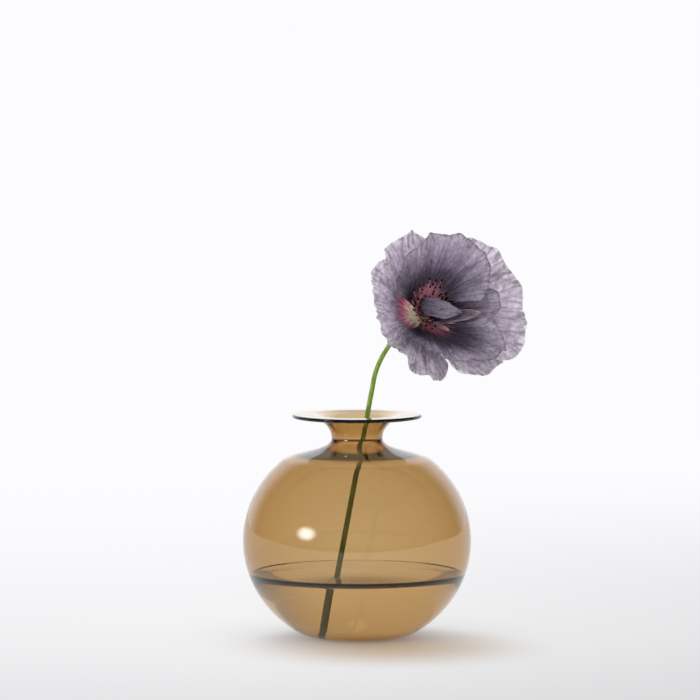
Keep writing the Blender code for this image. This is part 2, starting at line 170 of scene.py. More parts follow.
# The painted amber light tints both the paper's glow and its lit sheet
amber_lit_glow = add_node(tree, "MixRGB", {
    "Fac": amber.outputs[0], "Color1": linear(WHITE), "Color2": linear(AMBER_LIGHT_PATCH),
})
amber_lit_sheet = add_node(tree, "MixRGB", {
    "Fac": amber.outputs[0], "Color1": linear(PAPER_COLOUR), "Color2": linear(AMBER_LIT_PAPER),
})
# Painted shadow: the paper under the foot turns dark brown
foot_shadow_mask = add_node(tree, "MapRange", {
    "Value": away.outputs["Value"], "From Min": FOOT_SHADOW[0], "From Max": FOOT_SHADOW[1],
    "To Min": 1.0, "To Max": 0.0,
})
foot_shadowed_sheet = add_node(tree, "MixRGB", {
    "Fac": foot_shadow_mask.outputs[0], "Color1": amber_lit_sheet.outputs[0], "Color2": linear(FOOT_SHADE),
})
sheet = add_node(tree, "BsdfDiffuse", {"Color": foot_shadowed_sheet.outputs[0]})
ray = add_node(tree, "LightPath")
# Painted light: away from the vase the paper glows; in reflections it glows in full, except far in front,
# where it is as dark as the room
glow_strength = add_node(tree, "MapRange", {
    "Value": ray.outputs["Is Glossy Ray"], "To Min": plain.outputs[0], "To Max": front.outputs[0],
})
glow = add_node(tree, "Emission", {"Color": amber_lit_glow.outputs[0], "Strength": glow_strength.outputs[0]})
mixed = add_node(tree, "MixShader", {0: near.outputs[0], 1: glow.outputs[0], 2: sheet.outputs[0]})
tree.links.new(mixed.outputs[0], output.inputs["Surface"])
paper.data.materials.append(material)

OBJECT_MIDDLE = Vector((0, 0, 0.06))


def add_lamp(name, width, height, direction, distance, edge, brightness, mirrored):
    """A flat soft lamp that faces the object: an oval that fades over its edge, a share of its radius."""
    bpy.ops.object.select_all(action="DESELECT")
    bpy.ops.mesh.primitive_circle_add(vertices=48, radius=0.5, fill_type="NGON")
    lamp = bpy.context.object
    lamp.name = name
    lamp.scale = (width, height, 1.0)
    lamp.rotation_euler = direction.to_track_quat("-Z", "Y").to_euler()
    lamp.location = OBJECT_MIDDLE + distance * direction.normalized()
    lamp.visible_camera = False
    lamp.visible_glossy = mirrored
    lamp.visible_transmission = False
    material, tree, output = new_material(name + "_cloth")
    out = add_node(tree, "VectorMath", {0: add_node(tree, "TexCoord").outputs["Object"]}, operation="LENGTH")
    bright = add_node(tree, "MapRange", {
        "Value": out.outputs["Value"], "From Min": 0.5, "From Max": 0.5 * (1 - edge),
        "To Min": 0.0, "To Max": brightness,
    }, interpolation_type="SMOOTHSTEP")
    glow = add_node(tree, "Emission", {"Color": linear("ffffff"), "Strength": bright.outputs[0]})
    tree.links.new(glow.outputs[0], output.inputs["Surface"])
    lamp.data.materials.append(material)


add_lamp(
    "small_lamp", 0.52, 0.34, Vector((-0.78, -0.60, 0.20)),
    distance=1.1, edge=0.8, brightness=17.0, mirrored=True,
)
add_lamp(
    "hanging_lamp", 1.1, 1.0, Vector((-0.30, 0.62, 1.0)),
    distance=1.35, edge=0.5, brightness=4.6, mirrored=False,
)

# The camera: a little above level, and far enough off for a flat perspective
CAMERA_DISTANCE = 2.8
CAMERA_ELEVATION = 4.5
CAMERA_SENSOR = 36.0
PICTURE_MIDDLE = Vector((-3.6, 0, 147.2)) * MM
PICTURE_WIDTH = 357.7 * MM
elevation = math.radians(CAMERA_ELEVATION)
back = Vector((0, -math.cos(elevation), math.sin(elevation)))
bpy.ops.object.camera_add(location=PICTURE_MIDDLE + CAMERA_DISTANCE * back)
camera = bpy.context.object
camera.rotation_euler = (-back).to_track_quat("-Z", "Y").to_euler()
camera.data.sensor_width = CAMERA_SENSOR
camera.data.lens = CAMERA_SENSOR * CAMERA_DISTANCE / PICTURE_WIDTH
camera.data.clip_end = 200.0
scene.camera = camera


# The vase: one piece of amber soda-lime glass, blown round, with its foot flattened while hot, its neck
# drawn in and its rim spun out into a flat disc. Sizes are in millimetres from the middle of the foot.
BODY = (58.5, 54.8)
BODY_CENTRE = 49.3
FOOT_RADIUS = 19.0
HEEL_HEIGHT = 4.5
HEEL_ROUND = 0.4
WALL = 2.0
FLOOR_THICKNESS = 3.6
SHOULDER_RADIUS = 39.0
SHOULDER_SWEEP = 8.5
INNER_SWEEP = 9.5
NECK_RADIUS = 13.0
NECK_FILLET = 6.5
BORE_FILLET = 8.6
WAIST_HEIGHT = 102.05
BORE_RADIUS = 10.6
BORE_HEIGHTS = (100.55, 103.05)
FUNNEL_RISE = 0.5
FUNNEL_SPREAD = 0.55
FLARE_RISE = 0.4
FLARE_SPREAD = 0.55
FLARE_RADIUS = 24.0
MOUTH_RADIUS = 24.0
RIM_RADIUS = 33.2
RIM_THICKNESS = 1.8
RIM_TOP = 114.35
QUARTER_ROUND = 0.5523
GLASS_FINENESS = 16
GLASS_STEPS = 192


def knot(radius, height, heading=0.0, before=0.0, after=0.0):
    """A knot of an outline: its place, and the handles to the last and the next knot along its heading."""
    along = Vector((math.cos(math.radians(heading)), math.sin(math.radians(heading))))
    place = Vector((radius, height))
    return place, place - before * along, place + after * along


def wall_knot(inset, angle, to_heel, to_shoulder):
    """A knot on the body's ellipse; its handles follow it through the angles to the knots below and above."""
    across = BODY[0] - inset
    up = BODY[1] - inset
    place = Vector((across * math.cos(angle), BODY_CENTRE + up * math.sin(angle)))
    along = Vector((-across * math.sin(angle), up * math.cos(angle)))
    below = 4 / 3 * math.tan(to_heel / 4)
    above = 4 / 3 * math.tan(to_shoulder / 4)
    return place, place - below * along, place + above * along


def body_wall(inset, low, flat_radius, shoulder_sweep):
    """The wall of the body: knots at the foot's edge, the heel, the widest place and the shoulder."""
    heel = math.asin((low + HEEL_HEIGHT - BODY_CENTRE) / (BODY[1] - inset))
    shoulder = math.acos(SHOULDER_RADIUS / BODY[0])
    heel_place, _, heel_above = wall_knot(inset, heel, 0, -heel)
    reach = HEEL_ROUND * (heel_place - Vector((flat_radius, low))).length
    rise = (heel_above - heel_place).normalized()
    top, top_below, _ = wall_knot(inset, shoulder, shoulder, 0)
    onward = (top - top_below).normalized()
    return [
        knot(flat_radius, low, 0, 0, reach),
        (heel_place, heel_place - reach * rise, heel_above),
        wall_knot(inset, 0, -heel, shoulder),
        (top, top_below, top + shoulder_sweep * onward),
    ]


def turned(name, knots, fineness, steps):
    """A body of revolution about z: a curve through the knots, down its outer side, turned once round."""
    bpy.ops.object.select_all(action="DESELECT")
    bpy.ops.curve.primitive_bezier_curve_add()
    piece = bpy.context.object
    piece.name = name
    spline = piece.data.splines[0]
    spline.bezier_points.add(len(knots) - 2)
    for point, (place, before, after) in zip(spline.bezier_points, knots):
        point.handle_left_type = "FREE"
        point.handle_right_type = "FREE"
        point.co = (place.x * MM, 0, place.y * MM)
        point.handle_left = (before.x * MM, 0, before.y * MM)
        point.handle_right = (after.x * MM, 0, after.y * MM)
    piece.data.resolution_u = fineness
    spline.resolution_u = fineness
    bpy.ops.object.convert(target="MESH")
    screw = piece.modifiers.new("Turn", "SCREW")
    screw.steps = steps
    screw.render_steps = steps
    screw.use_merge_vertices = True
    screw.merge_threshold = 0.00001
    bpy.ops.object.modifier_apply(modifier="Turn")
    bpy.ops.object.shade_smooth()
    return piece


def downward(knots):
    """The same outline, followed the other way."""
    return [(place, after, before) for place, before, after in knots[::-1]]


rim_half = RIM_THICKNESS / 2
rim_round = QUARTER_ROUND * rim_half
outside = [knot(0, 0)] + body_wall(0, 0, FOOT_RADIUS, SHOULDER_SWEEP) + [
    knot(NECK_RADIUS, WAIST_HEIGHT, 90, NECK_FILLET, FLARE_RISE * (RIM_TOP - WAIST_HEIGHT)),
    knot(FLARE_RADIUS, RIM_TOP - RIM_THICKNESS, 0, FLARE_SPREAD * (FLARE_RADIUS - NECK_RADIUS), 0),
    knot(RIM_RADIUS - rim_half, RIM_TOP - RIM_THICKNESS, 0, 0, rim_round),
    knot(RIM_RADIUS, RIM_TOP - rim_half, 90, rim_round, rim_round),
    knot(RIM_RADIUS - rim_half, RIM_TOP, 180, rim_round, 0),
]
inside = [knot(0, FLOOR_THICKNESS)] + body_wall(WALL, FLOOR_THICKNESS, FOOT_RADIUS - WALL, INNER_SWEEP) + [
    knot(BORE_RADIUS, BORE_HEIGHTS[0], 90, BORE_FILLET, 0),
    knot(BORE_RADIUS, BORE_HEIGHTS[1], 90, 0, FUNNEL_RISE * (RIM_TOP - BORE_HEIGHTS[1])),
    knot(MOUTH_RADIUS, RIM_TOP, 0, FUNNEL_SPREAD * (MOUTH_RADIUS - BORE_RADIUS), 0),
]
vase = turned("vase", inside + downward(outside), GLASS_FINENESS, GLASS_STEPS)

# Amber glass: clear and polished by the fire, so its colour is only as deep as the way that light takes in it
GLASS_DEPTH = 640.0
GLASS_TINT = "e2c982"
material, tree, output = new_material("amber_glass")
shader = add_node(tree, "BsdfPrincipled", {
    "Base Color": linear("ffffff"), "Roughness": 0.0, "IOR": 1.52, "Transmission Weight": 1.0,
})
tint = add_node(tree, "VolumeAbsorption", {"Color": linear(GLASS_TINT), "Density": GLASS_DEPTH})
tree.links.new(shader.outputs[0], output.inputs["Surface"])
tree.links.new(tint.outputs[0], output.inputs["Volume"])
vase.data.materials.append(material)
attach(vase, "vase")
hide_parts("glass_vase")


# The water: it fills a quarter of the body and climbs the glass in a curved edge, less so at the back. It
# reaches a hair's breadth into the wall, so that light passes between them with no film of air.
WATER_LEVEL = 31.0
CLIMB = 2.7
CLIMB_WIDTH = 7.0
EDGE_LEAN = (0.14, 0.66)
EDGE_SPREAD = 0.57
BACK_DROP = 0.35
BACK_DROP_PLACES = (-30.0, 20.0)
WETTING = 0.15


def ease(share):
    """A smooth step from 0 to 1."""
    share = min(1.0, max(0.0, share))
    return share * share * (3 - 2 * share)


water_inset = WALL - WETTING
edge_height = WATER_LEVEL + CLIMB
edge_angle = math.asin((edge_height - BODY_CENTRE) / (BODY[1] - water_inset))
heel_angle = math.asin((FLOOR_THICKNESS - WETTING + HEEL_HEIGHT - BODY_CENTRE) / (BODY[1] - water_inset))
edge, edge_below, _ = wall_knot(water_inset, edge_angle, edge_angle - heel_angle, 0)
wet = body_wall(water_inset, FLOOR_THICKNESS - WETTING, FOOT_RADIUS - WALL, 0)
heel_place, heel_before, _ = wet[1]
_, _, heel_above = wall_knot(water_inset, heel_angle, 0, edge_angle - heel_angle)
water = turned("water_body", downward([
    knot(0, FLOOR_THICKNESS - WETTING),
    wet[0],
    (heel_place, heel_before, heel_above),
    (edge, edge_below, edge - Vector((EDGE_LEAN[0] * CLIMB_WIDTH, EDGE_LEAN[1] * CLIMB))),
    knot(edge.x - CLIMB_WIDTH, WATER_LEVEL, 180, EDGE_SPREAD * CLIMB_WIDTH, 0),
    knot(0, WATER_LEVEL),
]), GLASS_FINENESS, GLASS_STEPS)
for vert in water.data.vertices:
    climbed = vert.co.z - WATER_LEVEL * MM
    if climbed > 0:
        backward = vert.co.y / MM - BACK_DROP_PLACES[0]
        vert.co.z -= BACK_DROP * climbed * ease(backward / (BACK_DROP_PLACES[1] - BACK_DROP_PLACES[0]))

# Clear water: no colour of its own, and a surface as smooth as a mirror
material, tree, output = new_material("clear_water")
shader = add_node(tree, "BsdfPrincipled", {
    "Base Color": linear("ffffff"), "Roughness": 0.0, "IOR": 1.333, "Transmission Weight": 1.0,
})
tree.links.new(shader.outputs[0], output.inputs["Surface"])
water.data.materials.append(material)
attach(water, "water")
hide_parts("water")


# The stem: a cut green poppy stalk, a little thicker at its cut end, with fine ridges and hairs. It stands on
# the floor of the vase, leans on the bore of the neck and bends over under the weight of the flower.
STEM_FOOT = Vector((-15.2, 0.0, 4.28))
STEM_TOUCH = Vector((3.44, 7.66, 103.55))
STEM_RADII = (1.50, 1.22, 1.12)
STEM_STRAIGHT = 129.4
STRAIGHT_HANDLE = 0.33
STEM_BEND = Vector((21.6, -11.4, 32.1))
STEM_BEND_START = 14.0
STEM_BEND_END = 16.0
FLOWER_AZIMUTH = math.radians(30.0)
FLOWER_ELEVATION = math.radians(20.0)
rise = (STEM_TOUCH - STEM_FOOT).normalized()
level = math.cos(FLOWER_ELEVATION)
facing = Vector((
    level * math.sin(FLOWER_AZIMUTH), -level * math.cos(FLOWER_AZIMUTH), math.sin(FLOWER_ELEVATION),
))
upward = (Vector((0, 0, 1)) - facing.z * facing).normalized()
bend_place = STEM_FOOT + STEM_STRAIGHT * rise
stem_top = bend_place + STEM_BEND
flower_axes = Matrix((upward.cross(facing), upward, facing)).transposed()
flower_place = Matrix.Translation(stem_top * MM) @ flower_axes.to_4x4()

bpy.ops.object.select_all(action="DESELECT")
bpy.ops.curve.primitive_bezier_curve_add()
stem = bpy.context.object
stem.name = "stem_stalk"
stem.data.splines[0].bezier_points.add(1)
stem_knots = (
    (STEM_FOOT, rise, STEM_RADII[0], 0.0, STRAIGHT_HANDLE * STEM_STRAIGHT),
    (bend_place, rise, STEM_RADII[1], STRAIGHT_HANDLE * STEM_STRAIGHT, STEM_BEND_START),
    (stem_top, facing, STEM_RADII[2], STEM_BEND_END, 0.0),
)
for point, (place, heading, radius, before, after) in zip(stem.data.splines[0].bezier_points, stem_knots):
    point.handle_left_type = "FREE"
    point.handle_right_type = "FREE"
    point.co = place * MM
    point.handle_left = (place - before * heading) * MM
    point.handle_right = (place + after * heading) * MM
    point.radius = radius / STEM_RADII[0]
stem.data.bevel_depth = STEM_RADII[0] * MM
stem.data.bevel_resolution = 6
stem.data.use_fill_caps = True
stem.data.resolution_u = 64
stem.data.splines[0].resolution_u = 64
bpy.ops.object.convert(target="MESH")
bpy.ops.object.shade_smooth()


def set_stops(ramp, stops):
    """Gives a colour ramp its stops: places from 0 to 1, each with a hex colour."""
    elements = ramp.color_ramp.elements
    while len(elements) < len(stops):
        elements.new(0.5)
    for element, (position, colour) in zip(elements, stops):
        element.position = position
        element.color = linear(colour)


# Fresh stalk: yellow green, with dark streaks along it and pale hairs, satin. Painted shade makes it darker
# in the vase, and painted light makes it lighter above the rim, blending through the neck
SHADED_STALK = (85.0, 0.70)
LIT_STALK = (125.0, 1.18)
STREAK_WIDTH = 0.9
STREAK_STRETCH = 0.06
HAIR_SPACING = 0.5
material, tree, output = new_material("green_stalk")
place = add_node(tree, "TexCoord").outputs["Object"]
streaks = add_node(tree, "TexNoise", {
    "Vector": add_node(tree, "Mapping", {"Vector": place, "Scale": (1.0, 1.0, STREAK_STRETCH)}).outputs[0],
    "Scale": 1.0 / (STREAK_WIDTH * MM), "Detail": 3.0,
})
greens = add_node(tree, "ValToRGB", {"Fac": streaks.outputs["Fac"]})
set_stops(greens, ((0.30, "5a7a16"), (0.72, "a2bc58")))
# Painted shade and light: a factor on the colour by height, low in the vase and high above the rim
stalk_light_and_shade = add_node(tree, "MapRange", {
    "Value": add_node(tree, "SeparateXYZ", {0: place}).outputs["Z"],
    "From Min": SHADED_STALK[0] * MM, "From Max": LIT_STALK[0] * MM,
    "To Min": SHADED_STALK[1], "To Max": LIT_STALK[1],
})
lit_and_shaded_greens = add_node(tree, "VectorMath", {0: greens.outputs[0], "Scale": stalk_light_and_shade.outputs[0]}, operation="SCALE")
hairs = add_node(tree, "TexNoise", {"Vector": place, "Scale": 1.0 / (HAIR_SPACING * MM), "Detail": 2.0})
bump = add_node(tree, "Bump", {"Height": hairs.outputs["Fac"], "Strength": 0.5, "Distance": 0.15 * MM})
shader = add_node(tree, "BsdfPrincipled", {
    "Base Color": lit_and_shaded_greens.outputs[0], "Roughness": 0.55, "Specular IOR Level": 0.2, "Normal": bump.outputs[0],
})
tree.links.new(shader.outputs[0], output.inputs["Surface"])
stem.data.materials.append(material)
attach(stem, "flower")
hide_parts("stem")


# The receptacle: the swollen end of the stem, a short green drum on a cone, which everything else of the
# flower grows from. Sizes of the flower head are in millimetres from the end of the stem, along its axis.
CLEARANCE = 0.3
RECEPTACLE_RADIUS = 3.7
RECEPTACLE_CONE = 2.5
RECEPTACLE_HEIGHT = 7.0
CONE_ANGLE = 40.0
CONE_BULGE = 1.2
DRUM_ROUND = 0.5
heart_floor = CLEARANCE + RECEPTACLE_HEIGHT


def place_on_flower(piece):
    """Moves a finished mesh from the flower's own axes to its place on the stem."""
    piece.data.transform(flower_place)
    piece.data.update()


receptacle = turned("receptacle_drum", downward([
    knot(0, CLEARANCE),
    knot(STEM_RADII[2], CLEARANCE, CONE_ANGLE, 0, CONE_BULGE),
    knot(RECEPTACLE_RADIUS, CLEARANCE + RECEPTACLE_CONE, 90, CONE_BULGE, 0),
    knot(RECEPTACLE_RADIUS, heart_floor - DRUM_ROUND, 90, 0, 0.6 * DRUM_ROUND),
    knot(RECEPTACLE_RADIUS - DRUM_ROUND, heart_floor, 180, 0.6 * DRUM_ROUND, 0),
    knot(0, heart_floor),
]), fineness=6, steps=32)
place_on_flower(receptacle)

# Receptacle tissue: green like the stalk at the stem and cream above, among the petals and stamens, matte
SPECK_SIZE = 0.6
material, tree, output = new_material("receptacle_tissue")
place = add_node(tree, "TexCoord").outputs["Object"]
from_stem = add_node(tree, "VectorMath", {0: place, 1: stem_top * MM}, operation="SUBTRACT")
height = add_node(tree, "VectorMath", {0: from_stem.outputs[0], 1: facing}, operation="DOT_PRODUCT")
specks = add_node(tree, "TexNoise", {"Vector": place, "Scale": 1.0 / (SPECK_SIZE * MM), "Detail": 2.0})
ragged = add_node(tree, "MapRange", {
    "Value": specks.outputs["Fac"], "To Min": -SPECK_SIZE * MM, "To Max": SPECK_SIZE * MM,
})
height = add_node(tree, "Math", {0: height.outputs["Value"], 1: ragged.outputs[0]}, operation="ADD")
tints = add_node(tree, "ValToRGB", {
    "Fac": add_node(tree, "MapRange", {"Value": height.outputs[0], "From Max": heart_floor * MM}).outputs[0],
})
set_stops(tints, ((0.30, "6f8a3a"), (0.47, "e2dabb")))
shader = add_node(tree, "BsdfPrincipled", {
    "Base Color": tints.outputs[0], "Roughness": 0.7, "Specular IOR Level": 0.2,
})
tree.links.new(shader.outputs[0], output.inputs["Surface"])
receptacle.data.materials.append(material)
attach(receptacle, "flower")
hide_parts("receptacle")


# The outer petals: four broad, thin fans of pale lilac tissue, wrinkled from having been folded in the bud,
# with ruffled margins. Each grows from the side of the receptacle, the lower ones first.
PETAL_SEAT = RECEPTACLE_RADIUS - 0.2
PETAL_THICKNESS = 0.25
PETAL_STEP = 0.60
PETAL_LAYERS = 6
PETAL_REFERENCE = 40.0
CLAW_SPREAD = 0.6
CLAW_FADE = 0.6
MARGIN_UNEVEN = 0.045
CORNER_ROUND = 0.14
RUFFLE_WAVES = 9
WRINKLE_ANGLE = 3.2
WRINKLES = 24
CRINKLE_ANGLE = 13.0
CRINKLES_PER_RADIAN = 10.0
FRILL = 1.8
FRILLS_PER_RADIAN = 7.0
COLUMN_ANGLE = 0.7
PETAL_ROWS = 64
PATH_STEPS = 16


def between(stations, across):
    """A smooth curve through five evenly spaced values, at a place from -1 to 1."""
    place = 2 * (across + 1)
    low = min(3, int(place))
    t = place - low
    before = stations[max(0, low - 1)]
    start = stations[low]
    end = stations[low + 1]
    after = stations[min(4, low + 2)]
    climb = (end - before) / 2
    fall = (after - start) / 2
    return (start * (1 + 2 * t) * (1 - t) ** 2 + climb * t * (1 - t) ** 2
            + end * t * t * (3 - 2 * t) - fall * t * t * (1 - t))


def petal_point(seat, azimuth, reach, longest, opening, flare, curl, ruffle):
    """A point of a petal's middle surface: up the cup from its seat, in the half plane of its azimuth."""
    radius, height = seat
    round_axis = Vector((math.cos(azimuth), math.sin(azimuth), 0))
    frill = FRILL * ruffle * noise.noise(FRILLS_PER_RADIAN * round_axis)
    # Wrinkles are uneven: their lines wander, and their depth varies round the flower
    wander = 2.2 * math.sin(5 * azimuth + 1) + 1.5 * math.sin(8 * azimuth)
    depth = WRINKLE_ANGLE * (0.6 + 0.4 * math.sin(7 * azimuth + 2))
    for step in range(PATH_STEPS):
        at = reach * (step + 0.5) / PATH_STEPS
        share = at / PETAL_REFERENCE
        crinkle = 0.3 - abs(noise.noise(CRINKLES_PER_RADIAN * round_axis + Vector((0, 0, 4.5 * share))))
        angle = opening + flare * share ** 1.3 + curl * (at / longest) ** 3 + frill * (at / longest) ** 5
        waves = RUFFLE_WAVES * azimuth + 2.0 * math.sin(3 * azimuth) + 2.5 * share
        angle += ruffle * share ** 2 * math.sin(waves)
        angle += share * (depth * math.sin(WRINKLES * azimuth + wander + share) + CRINKLE_ANGLE * crinkle)
        radius += math.sin(math.radians(angle)) * reach / PATH_STEPS
        height += math.cos(math.radians(angle)) * reach / PATH_STEPS
    return Vector((radius * math.cos(azimuth), radius * math.sin(azimuth), height))


def make_sheet(name, node, columns, rows, place, middle, half):
    """A thin sheet of tissue, which replaces its solid. Place gives its middle surface, from -1 to 1 across
    and from 0 to 1 along. Its UV map runs across it through the given angles, in radians, and along it from
    0 to 1."""
    bpy.ops.object.select_all(action="DESELECT")
    bpy.ops.mesh.primitive_grid_add(x_subdivisions=columns, y_subdivisions=rows, size=2.0, calc_uvs=True)
    sheet = bpy.context.object
    sheet.name = name
    for corner in sheet.data.uv_layers.active.data:
        corner.uv.x = middle + half * (2 * corner.uv.x - 1)
    for vert in sheet.data.vertices:
        vert.co = place(vert.co.x, (vert.co.y + 1) / 2) * MM
    thickness = sheet.modifiers.new("Thickness", "SOLIDIFY")
    thickness.thickness = PETAL_THICKNESS * MM
    thickness.offset = 0.0
    bpy.ops.object.modifier_apply(modifier="Thickness")
    bpy.ops.object.shade_smooth()
    place_on_flower(sheet)
    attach(sheet, "flower")
    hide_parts(node)
    return sheet


def make_petal(name, node, layer, azimuth, spread, lengths, opening, flare, curl, ruffle, claw=CLAW_SPREAD):
    """A fan of a petal, wider than its claw. Its layer is counted from the lowest, its lengths are at five
    places from one side to the other, and its claw has a share of its spread."""
    seat = (PETAL_SEAT, heart_floor - CLEARANCE - (PETAL_LAYERS - layer) * PETAL_STEP)

    def place(across, along):
        here = math.radians(azimuth + spread * across * (claw + (1 - claw) * along ** CLAW_FADE))
        margin = 1 + MARGIN_UNEVEN * noise.noise(Vector((6 * here, 0.3 * azimuth, 1.7)))
        reach = along * between(lengths, across) * margin * (1 - CORNER_ROUND * abs(across) ** 9)
        return petal_point(seat, here, reach, max(lengths), opening, flare, curl, ruffle)

    columns = max(24, round(2 * spread / COLUMN_ANGLE))
    return make_sheet(name, node, columns, PETAL_ROWS, place, math.radians(azimuth), math.radians(spread))


# Petal tissue: dry, thin and matte, so that light comes through it, with veins and cloudy shades, painted
# shade in its folds, and painted light and shade on its crumples.
# Its patterns have so many cells across a radian, which is 40 mm wide at a length of 40 mm, and so many along
# the petal: veins are 0.9 mm apart there, and long folds 4 mm. The third number is their detail
TISSUE_PATTERNS = {
    "edges": (16.0, 1.5, 3.0),
    "long folds": (9.0, 2.0, 1.5),
    "cross folds": (6.0, 6.0, 1.5),
    "veins": (45.0, 2.0, 3.0),
    "clouds": (3.0, 2.0, 2.0),
}
CRUMPLE_SIZE = 2.0
EDGE_RAGGED = 0.15


def petal_material(name, stops, folds, thinness, margin, shaded_side=(0.0, 1.0, 1.0)):
    """Petal tissue: its colours from the claw to the margin, the depth of painted shade in its folds, its
    share of light from behind, and its margin's factor: painted light over the rim above 1, a thin dark line
    below 1. The
    last argument is a side in painted shade: the azimuths between which it darkens, and its factor there."""
    material, tree, output = new_material(name)
    coords = add_node(tree, "TexCoord")
    spot = add_node(tree, "SeparateXYZ", {0: coords.outputs["UV"]})
    along = spot.outputs["Y"]
    patterns = {}
    for pattern, (cells_across, cells_along, detail) in TISSUE_PATTERNS.items():
        grid = add_node(tree, "Mapping", {
            "Vector": coords.outputs["UV"], "Scale": (cells_across, cells_along, 1.0),
        })
        cells = add_node(tree, "TexNoise", {"Vector": grid.outputs[0], "Scale": 1.0, "Detail": detail})
        patterns[pattern] = cells.outputs["Fac"]
    for fold in ("long folds", "cross folds"):
        aside = add_node(tree, "Math", {0: patterns[fold], 1: 0.5}, operation="SUBTRACT")
        patterns[fold] = add_node(tree, "Math", {0: aside.outputs[0]}, operation="ABSOLUTE").outputs[0]
    crumple = add_node(tree, "TexNoise", {
        "Vector": coords.outputs["Object"], "Scale": 1.0 / (CRUMPLE_SIZE * MM),
        "Detail": 4.0, "Roughness": 0.65,
    }).outputs["Fac"]
    uneven = add_node(tree, "MapRange", {
        "Value": patterns["edges"], "To Min": -EDGE_RAGGED, "To Max": EDGE_RAGGED,
    })
    ragged = add_node(tree, "Math", {0: along, 1: uneven.outputs[0]}, operation="ADD")
    ramp = add_node(tree, "ValToRGB", {"Fac": ragged.outputs[0]})
    set_stops(ramp, stops)
    shade = 1.0
    for value, low, high, at_low, at_high in (
        # Painted shade in the long and cross folds, painted light and shade on the crumples; veins and clouds
        # are the tissue's own tone
        (patterns["long folds"], 0.0, 0.04, 1 - folds, 1.0),
        (crumple, 0.3, 0.7, 0.80, 1.20),
        (patterns["cross folds"], 0.0, 0.05, 1 - 0.5 * folds, 1.0),
        (patterns["veins"], 0.3, 0.7, 0.88, 1.10),
        (patterns["clouds"], 0.3, 0.7, 0.88, 1.10),
        # The margin's factor: painted light over the rim above 1, a thin darker line below 1
        (along, 0.975, 0.99, 1.0, margin),
        # Painted shade on the shaded side, between its azimuths
        (spot.outputs["X"], shaded_side[0], shaded_side[1], 1.0, shaded_side[2]),
    ):
        factor = add_node(tree, "MapRange", {
            "Value": value, "From Min": low, "From Max": high, "To Min": at_low, "To Max": at_high,
        })
        shade = add_node(tree, "Math", {0: shade, 1: factor.outputs[0]}, operation="MULTIPLY").outputs[0]
    colour = add_node(tree, "VectorMath", {0: ramp.outputs[0], "Scale": shade}, operation="SCALE").outputs[0]
    height = crumple
    for fold, width, depth in (("long folds", 0.12, 0.5), ("cross folds", 0.10, 0.35)):
        groove = add_node(tree, "MapRange", {"Value": patterns[fold], "From Max": width, "To Max": depth})
        height = add_node(tree, "Math", {0: height, 1: groove.outputs[0]}, operation="ADD").outputs[0]
    bump = add_node(tree, "Bump", {"Height": height, "Strength": 0.8, "Distance": 0.7 * MM}).outputs[0]
    skin = add_node(tree, "BsdfPrincipled", {
        "Base Color": colour, "Roughness": 0.62, "Specular IOR Level": 0.2, "Normal": bump,
    })
    through = add_node(tree, "BsdfTranslucent", {"Color": colour, "Normal": bump})
    mixed = add_node(tree, "MixShader", {0: thinness, 1: skin.outputs[0], 2: through.outputs[0]})
    tree.links.new(mixed.outputs[0], output.inputs["Surface"])
    return material


# Then: the painted shade in folds, light from behind, the margin's factor, and a side in painted shade
pale_tissue = petal_material("pale_petal_tissue", (
    (0.0, "a98c9a"), (0.15, "bcafc3"), (0.45, "dad0df"), (0.80, "eee6f0"), (1.0, "f4edf5"),
), 0.34, 0.67, 1.08)
clawed_tissue = petal_material("clawed_petal_tissue", (
    (0.0, "f8f2e2"), (0.14, "f6e6dc"), (0.23, "edc4cb"), (0.33, "d796ab"), (0.42, "bfa1b6"), (0.52, "d2c7d7"),
    (0.80, "eae2ed"), (1.0, "f1eaf2"),
), 0.36, 0.66, 1.08, (2.5, 3.3, 0.92))
# Layer, azimuth and half spread, lengths across, and the angles of opening, flare, curl and ruffle
outer_petals = (
    make_petal("right_fan", "outer_petal_right", 0, 10, 52, (49.5, 52.5, 52.0, 50.5, 44.0), 63, 6, 4, 7),
    make_petal("front_fan", "outer_petal_front", 1, 240, 36, (31.5, 35.0, 39.0, 40.5, 33.5), 56, 10, 8, 12),
    make_petal("bottom_fan", "outer_petal_bottom", 1, 298.5, 21, (36.0, 42.5, 44.5, 46.0, 46.0), 58, 6, 4, 9),
    make_petal(
        "left_fan", "outer_petal_left", 0, 155, 70, (43.5, 37.5, 36.0, 34.0, 30.5),
        62, 10, 6, 15, claw=0.88,
    ),
)
for petal, tissue in zip(outer_petals, (pale_tissue, clawed_tissue, pale_tissue, clawed_tissue)):
    petal.data.materials.append(tissue)


# The inner petals: three broad fans of the same tissue inside the outer ones, grey purple with a pale margin,
# darkest in the middle and pink at the claw. They grow from the receptacle above the outer ones.
rosy_tissue = petal_material("rosy_petal_tissue", (
    (0.0, "efc9d0"), (0.15, "dfacb8"), (0.29, "c59aa9"), (0.38, "705e70"), (0.50, "83768b"), (0.68, "bbafc3"),
    (0.90, "dad0de"), (1.0, "e0d7e3"),
), 0.34, 0.58, 0.78, (1.9, 2.5, 0.54))
